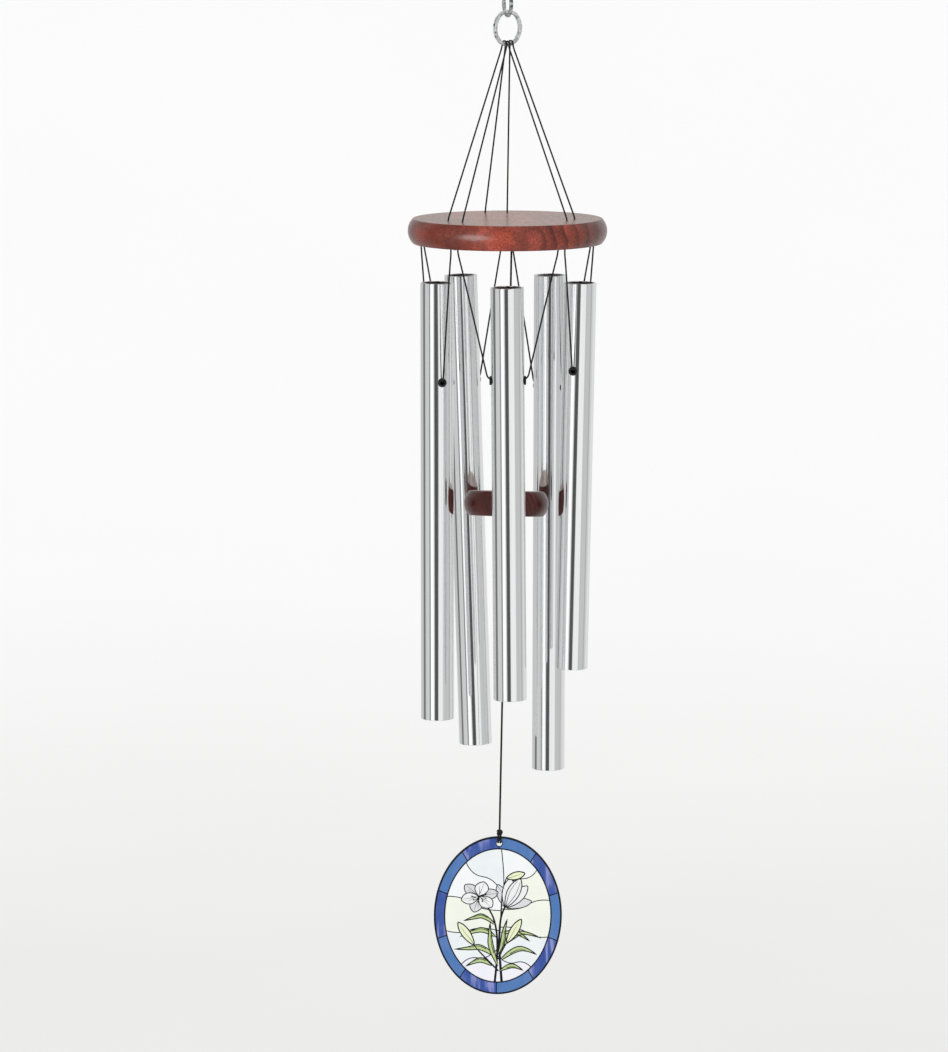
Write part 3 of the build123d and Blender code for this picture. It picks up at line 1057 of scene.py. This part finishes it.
class Lead:
    """Collects the raised dark lines of both faces into one mesh."""

    def __init__(self):
        self.vertices, self.faces = [], []

    def line(self, points, width=LEAD, end_width=None, closed=False, top=LEAD_TOP):
        """A rounded ridge along a line, which may taper towards its end."""
        points = [Vector(p) for p in points]
        count = len(points)
        end_width = width if end_width is None else end_width
        low, shoulder = CORE_HALF - 0.03, top - 0.03
        ridge = ((-1, low), (-0.85, shoulder), (0, top), (0.85, shoulder), (1, low))
        for side in (-1, 1):
            first = len(self.vertices)
            for i, point in enumerate(points):
                before = points[(i - 1) % count] if closed or i else point
                after = points[(i + 1) % count] if closed or i < count - 1 else point
                along = (after - before).normalized()
                across = Vector((-along.y, along.x))
                half = (width + (end_width - width) * i / max(1, count - 1)) / 2
                for share, height in ridge:
                    x, y = point + across * (half * share)
                    self.vertices.append(Vector((x, side * height, y)) * MM)
            faces = grid_faces(count, len(ridge), first, closed)
            if not closed:
                faces += end_faces(count, len(ridge), first)
            self.faces += faces if side == 1 else [tuple(reversed(face)) for face in faces]


glass, lead = Glass(), Lead()


def border_tiles():
    """Ten tiles round the rim, plain blue and streaked blue in turn, round the hole."""
    step = 360 / TILES
    for index in range(TILES):
        angles = [index * step + step * k / 12 for k in range(13)]
        outline = [oval(TILE_OUTER, a) for a in angles]
        inner = [oval(TILE_INNER, a) for a in reversed(angles)]
        notch = [(x, HOLE_Y - y) for x, y in [oval((HOLE_CUT, HOLE_CUT), 18 * k) for k in range(11)]]
        if index == 0:
            outline = outline + inner + notch
        elif index == TILES - 1:
            outline = outline + [(-x, y) for x, y in notch[::-1]] + inner
        else:
            outline = outline + inner
        tint, streak = (LIGHT_BLUE, 0.12) if index % 2 == 0 else (DEEP_BLUE, 1.0)
        glass.slab(outline, GLASS_TOP, tint, streak)
        if index:
            lead.line([oval(TILE_OUTER, index * step), oval(TILE_INNER, index * step)])
    lead.line([(0, TILE_OUTER[1] + 0.3), (0, HOLE_Y + HOLE_CUT)])
    lead.line([(0, HOLE_Y - HOLE_CUT), (0, TILE_INNER[1])])
    lead.line(hole_circle(HOLE_LINE_R), HOLE_LINE, closed=True)
    for size, width in ((RIM_LINE_OVAL, RIM_LINE), (BORDER_LINE_OVAL, BORDER_LINE)):
        lead.line([oval(size, 3 * k) for k in range(120)], width, closed=True)


# The lines between the pale panes of each side, from the top: where a line meets the
# border (degrees from the top), how high on the middle line it ends, and its bow.
LEFT_LINES = [(-38, 12.0, -4.5), (-74, 3.0, 3.0), (-104, -9.0, -3.0), (-138, -20.0, 3.5)]
RIGHT_LINES = [(46, 15.0, 3.5), (76, 4.0, -3.0), (108, -7.0, 3.0), (140, -24.0, -3.5)]
MIDDLE_TOP_ANGLE = 2.56
MIDDLE_FOOT_ANGLE = 176.6
LEFT_PANES = [PALE_BLUE, PALE_WHITE, PALE_GREEN, PALE_BLUE, PALE_LILAC]
RIGHT_PANES = [PALE_WHITE, PALE_GREEN, PALE_GREEN, PALE_BLUE, PALE_LILAC]


def middle_line(height):
    """Point of the wavy line that parts the left panes from the right ones."""
    return Vector((1.6 + 1.5 * math.sin(height / 12.0), height))


def pane_line(angle, height, bow):
    """Points of a line from the middle line to the border."""
    start, end = middle_line(height), Vector(oval(PANE_OVAL, angle))
    across = Vector((start.y - end.y, end.x - start.x)).normalized()
    first = start.lerp(end, 0.35) + across * bow
    second = start.lerp(end, 0.75) - across * (bow * 0.8)
    return rounded([start, first, second, end], 8, closed=False)


PANE_STEPS = 14


def pale_panes():
    """Pale panes on both sides of the middle line, with dark lines between them."""
    for side, lines, tints in ((-1, LEFT_LINES, LEFT_PANES), (1, RIGHT_LINES, RIGHT_PANES)):
        drawn = [pane_line(*line) for line in lines]
        top, bottom = Vector(oval(PANE_OVAL, MIDDLE_TOP_ANGLE)), Vector(oval(PANE_OVAL, MIDDLE_FOOT_ANGLE))
        edges = [[top]] + drawn + [[bottom]]
        heights = [PANE_OVAL[1]] + [line[1] for line in lines] + [-PANE_OVAL[1]]
        foot = MIDDLE_FOOT_ANGLE if side == 1 else MIDDLE_FOOT_ANGLE - 360
        angles = [MIDDLE_TOP_ANGLE] + [line[0] for line in lines] + [foot]
        for index, tint in enumerate(tints):
            high, low = heights[index], heights[index + 1]
            start, end = angles[index], angles[index + 1]
            shares = [k / PANE_STEPS for k in range(1, PANE_STEPS)]
            run = [middle_line(high + (low - high) * share) for share in shares]
            arc = [Vector(oval(PANE_OVAL, end + (start - end) * share)) for share in shares]
            glass.slab(edges[index][::-1] + run + edges[index + 1] + arc, PANE_TOP, tint)
        for line in drawn:
            lead.line(line, PANE_LINE, top=PANE_LINE_TOP)
    middle = [middle_line(PANE_OVAL[1] - 1.5 * k) for k in range(20)]
    lead.line(middle, PANE_LINE, top=PANE_LINE_TOP)


def turned(centre, angle, along, out, squash=1.0):
    """Point at a distance along a direction (degrees from up) and beside it."""
    a = math.radians(angle)
    return Vector((centre[0] + along * math.sin(a) + out * math.cos(a),
                   centre[1] + (along * math.cos(a) - out * math.sin(a)) * squash))


def petal(centre, angle, length, width, squash=1.0, bend=0.0):
    """Outline of a petal with a soft point, which may bend sideways at its tip."""
    shape = [(0, 0), (0.2, 0.34), (0.5, 0.56), (0.8, 0.44), (0.97, 0.12), (1.0, 0),
             (0.95, -0.16), (0.76, -0.46), (0.48, -0.54), (0.2, -0.32)]
    return rounded([turned(centre, angle, along * length, out * width + bend * along**2, squash)
                    for along, out in shape], 5)


def outlined(outline, level, tint, width=LEAD):
    """A piece of glass at a level above the sail's middle, with a dark edge line."""
    glass.slab(outline, level, tint)
    lead.line(outline, width, closed=True, top=level + LINE_RISE)


def petals(centre, length, width, squash, angles, tint, level):
    """Petals of a flower, each with its outline and two drawn folds."""
    for angle in angles:
        outlined(petal(centre, angle, length, width, squash), level, tint)
        for side, reach in ((0.05, 0.78), (-0.22, 0.55)):
            fold = []
            for k in range(7):
                along = length * (k / 6 * reach + 0.12)
                fold.append(turned(centre, angle, along, width * side * k / 6, squash))
            lead.line(fold, FINE_LINE, FINE_TIP, top=level + LINE_RISE)


def open_blossom(centre, length, first, squash):
    """Open flower of three back and three front petals with curved stamens."""
    thirds = [first + 120 * k for k in range(3)]
    between = [angle + 60 for angle in thirds]
    petals(centre, length, length * 0.60, squash, between, SHADED_PETAL, BACK_PETAL_TOP)
    petals(centre, length * 0.92, length * 0.66, squash, thirds, PETAL, FRONT_PETAL_TOP)
    for k in range(6):
        angle = first + 30 + 40 * k
        curl = [turned(centre, angle + 5 * step, length * 0.07 * step, 0, squash) for step in range(6)]
        lead.line(curl, FINE_LINE)
        end = curl[-1]
        lead.line([end + Vector((-0.5, 0.2)), end + Vector((0.5, -0.1))], 0.75)


def cup_blossom(centre, length, angle):
    """Flower seen from the side: long petals in a cup, with two that curl out."""
    for offset, scale, bend in ((-34, 0.74, -2.6), (36, 0.80, 3.4)):
        outline = petal(centre, angle + offset, length * scale, length * 0.30, bend=bend)
        outlined(outline, CUP_OUTER_TOP, SHADED_PETAL)
    for offset, scale, level in ((-17, 0.93, 0.885), (18, 0.95, 0.91)):
        outline = petal(centre, angle + offset, length * scale, length * 0.34)
        outlined(outline, level, PETAL, CUP_LINE)
    outlined(petal(centre, angle, length, length * 0.36), CUP_FRONT_TOP, PETAL, CUP_FRONT_LINE)
    for side in (-0.10, 0.09):
        rib = []
        for k in range(7):
            out = length * side * math.sin(math.pi * k / 7)
            rib.append(turned(centre, angle, length * (0.05 + 0.14 * k), out))
        lead.line(rib, 0.5, 0.24, top=RIB_TOP)


def bud(centre, angle, length, width):
    outlined(petal(centre, angle, length, width), BUD_TOP, BUD, BUD_LINE)
    rib = [turned(centre, angle, length * (0.04 + 0.13 * k), 0.2 * math.sin(k)) for k in range(7)]
    lead.line(rib, FINE_LINE, FINE_TIP, top=BUD_RIB_TOP)


def blade(points, width, level):
    """Long leaf along a curve, widest before its middle, edged and veined in lead."""
    spine = rounded(points, 7, closed=False)
    last = len(spine) - 1
    left, right = [], []
    for i, point in enumerate(spine):
        along = (spine[min(i + 1, last)] - spine[max(i - 1, 0)]).normalized()
        across = Vector((-along.y, along.x))
        half = width / 2 * math.sin(math.pi * (i / last) ** 0.75)
        left.append(point + across * half)
        right.append(point - across * half)
    outlined(left + right[-2:0:-1], level, LEAF, LEAF_LINE)
    vein = [p.lerp(q, 0.4) for p, q in zip(spine, right)][3 : int(last * 0.85)]
    lead.line(vein, 0.6, 0.25, top=level + LINE_RISE)


def stem(points, width, end_width):
    lead.line(rounded(points, 8, closed=False), width, end_width, top=STEM_TOP)


# The leaves: their curves and widths.
BLADES = [
    ([(-0.2, -25), (-9, -18), (-16, -20), (-25.2, -20.5)], 2.9),
    ([(-0.6, -13), (-7, -8), (-14, -9.5), (-22, -13.0)], 2.7),
    ([(-3.0, -30), (-8, -26), (-13, -27.5), (-18.2, -30.5)], 2.7),
    ([(-0.8, -6), (-8, 0.5), (-14, -1.5), (-20, -3.5)], 2.4),
    ([(1.5, -27), (9, -20), (17, -19), (23.3, -23)], 2.9),
    ([(1.2, -19), (8, -13), (15, -8.5), (25.5, -13)], 2.7),
    ([(1.8, -10), (9, -9.5), (14, -11), (19, -15)], 2.4),
    ([(1.6, -33), (7, -29.5), (11.5, -30), (15.4, -32.4)], 2.4),
    ([(0.6, -30), (-3.6, -20), (-4.6, -12), (-4.4, -4)], 2.8),
    ([(0.6, -23), (3.8, -15), (3.4, -9), (5.6, -2)], 2.6),
]


def bouquet():
    """Two flowers, three buds and their leaves on dark stems."""
    stem([(-1.0, -39.3), (0.4, -24), (-0.4, -8), (-4, 3), (-9, 8)], 1.5, 1.0)
    stem([(3.0, -39.1), (1.4, -24), (1.0, -8), (2.2, 2), (4.6, 6)], 1.7, 1.1)
    stem([(1.2, -14), (2.0, 4), (2.2, 15), (4.5, 22.4)], 1.0, 0.7)
    stem([(1.0, -33), (-6, -26), (-12, -20), (-13.4, -18)], 1.1, 0.8)
    stem([(0.8, -26), (3, -20), (5.6, -16)], 1.0, 0.8)
    for index, (points, width) in enumerate(BLADES):
        blade(points, width, BLADE_TOP + BLADE_STEP * index)
    bud((4.2, 22.2), 74, 11.5, 4.2)
    bud((-13.2, -18.2), -36, 17, 4.8)
    bud((5.2, -16.6), 30, 17, 4.6)
    cup_blossom((4.2, 4.6), 19.5, 26)
    open_blossom((-11.2, 11.2), 11.6, 14, 0.84)


def glass_material():
    """Opal glass: soft clouds, and drawn-out streaks where a tile asks for them."""
    shader = Shader("opal_glass", Roughness=0.16, Coat_Weight=0.3, Coat_Roughness=0.05)
    streak = shader.attribute("streak")
    drawn = shader.place(rotation=(0, math.radians(-14), 0), scale=(210, 210, 30))
    flow = shader.noise(drawn, 1.0, distortion=0.6)
    cloud = shader.noise(shader.place(), 95, detail=3)
    body = shader.layers(
        shader.attribute("tint", "Color"),
        (shader.product(shader.span(flow, 0.47, 0.62), streak), rgb(*STREAK_VIOLET)),
        (shader.product(shader.span(flow, 0.50, 0.34), streak, 0.5), rgb(*STREAK_NAVY)),
        (shader.span(cloud, 0.35, 0.7, 0, 0.07), rgb(*CLOUD_BLUE)),
    )
    shader.link(body, "Base Color")
    shader.bump(shader.noise(shader.place(), 130, detail=2), 0.00012, 0.35)
    return shader.material


def lead_material():
    """Dark came with a dull blue-black patina."""
    shader = Shader("dark_came", Roughness=0.5, Specular_IOR_Level=0.25)
    patina = shader.cloudy(600, 4, (5, 7, 14), (16, 19, 32))
    shader.link(shader.span(patina, 0.3, 0.7, 0.35, 0.6), "Roughness")
    shader.bump(patina, 0.00003, 0.6)
    return shader.material


def acrylic_material():
    """The sail's core: dark blue acrylic, which shows at the rim and in the hole."""
    shader = Shader("sail_core", Roughness=0.25, Coat_Weight=0.3)
    shader.bump(shader.cloudy(300, 4, (14, 17, 34), (24, 28, 52)), 0.00002, 0.4)
    return shader.material


CORE_SOFT = 0.22


def sail_core(place):
    """Flat oval plate with softened edges and its hanging hole."""
    curve = bpy.data.curves.new("sail_plate", "CURVE")
    curve.dimensions = "2D"
    curve.fill_mode = "BOTH"
    curve.extrude = (CORE_HALF - CORE_SOFT) * MM
    curve.bevel_depth = CORE_SOFT * MM
    curve.bevel_resolution = 3
    size = (OVAL[0] - CORE_SOFT, OVAL[1] - CORE_SOFT)
    for outline in ([oval(size, 2.5 * k) for k in range(144)], hole_circle(HOLE_R + CORE_SOFT)):
        spline = curve.splines.new("POLY")
        spline.points.add(len(outline) - 1)
        spline.use_cyclic_u = True
        for point, (x, y) in zip(spline.points, outline):
            point.co = (x * MM, y * MM, 0, 1)
    carrier = bpy.data.objects.new("sail_plate", curve)
    mesh = bpy.data.meshes.new_from_object(carrier)
    bpy.data.objects.remove(carrier)
    mesh.transform(place @ turn(90, "X"))
    mesh.materials.clear()
    mesh.materials.append(acrylic_material())
    link(bpy.data.objects.new("sail_plate", mesh), "sail", "sail_glaze", "sail")


def make_sail():
    place = on_line(SAIL_TOP_AT + OVAL[1] * MM)
    border_tiles()
    pale_panes()
    bouquet()
    sail_core(place)
    glass.build("sail_glass", glass_material(), place)
    lines = mesh_object("sail_leading", lead.vertices, lead.faces, [lead_material()], place)
    link(lines, "sail", "sail_glaze")


make_sail()
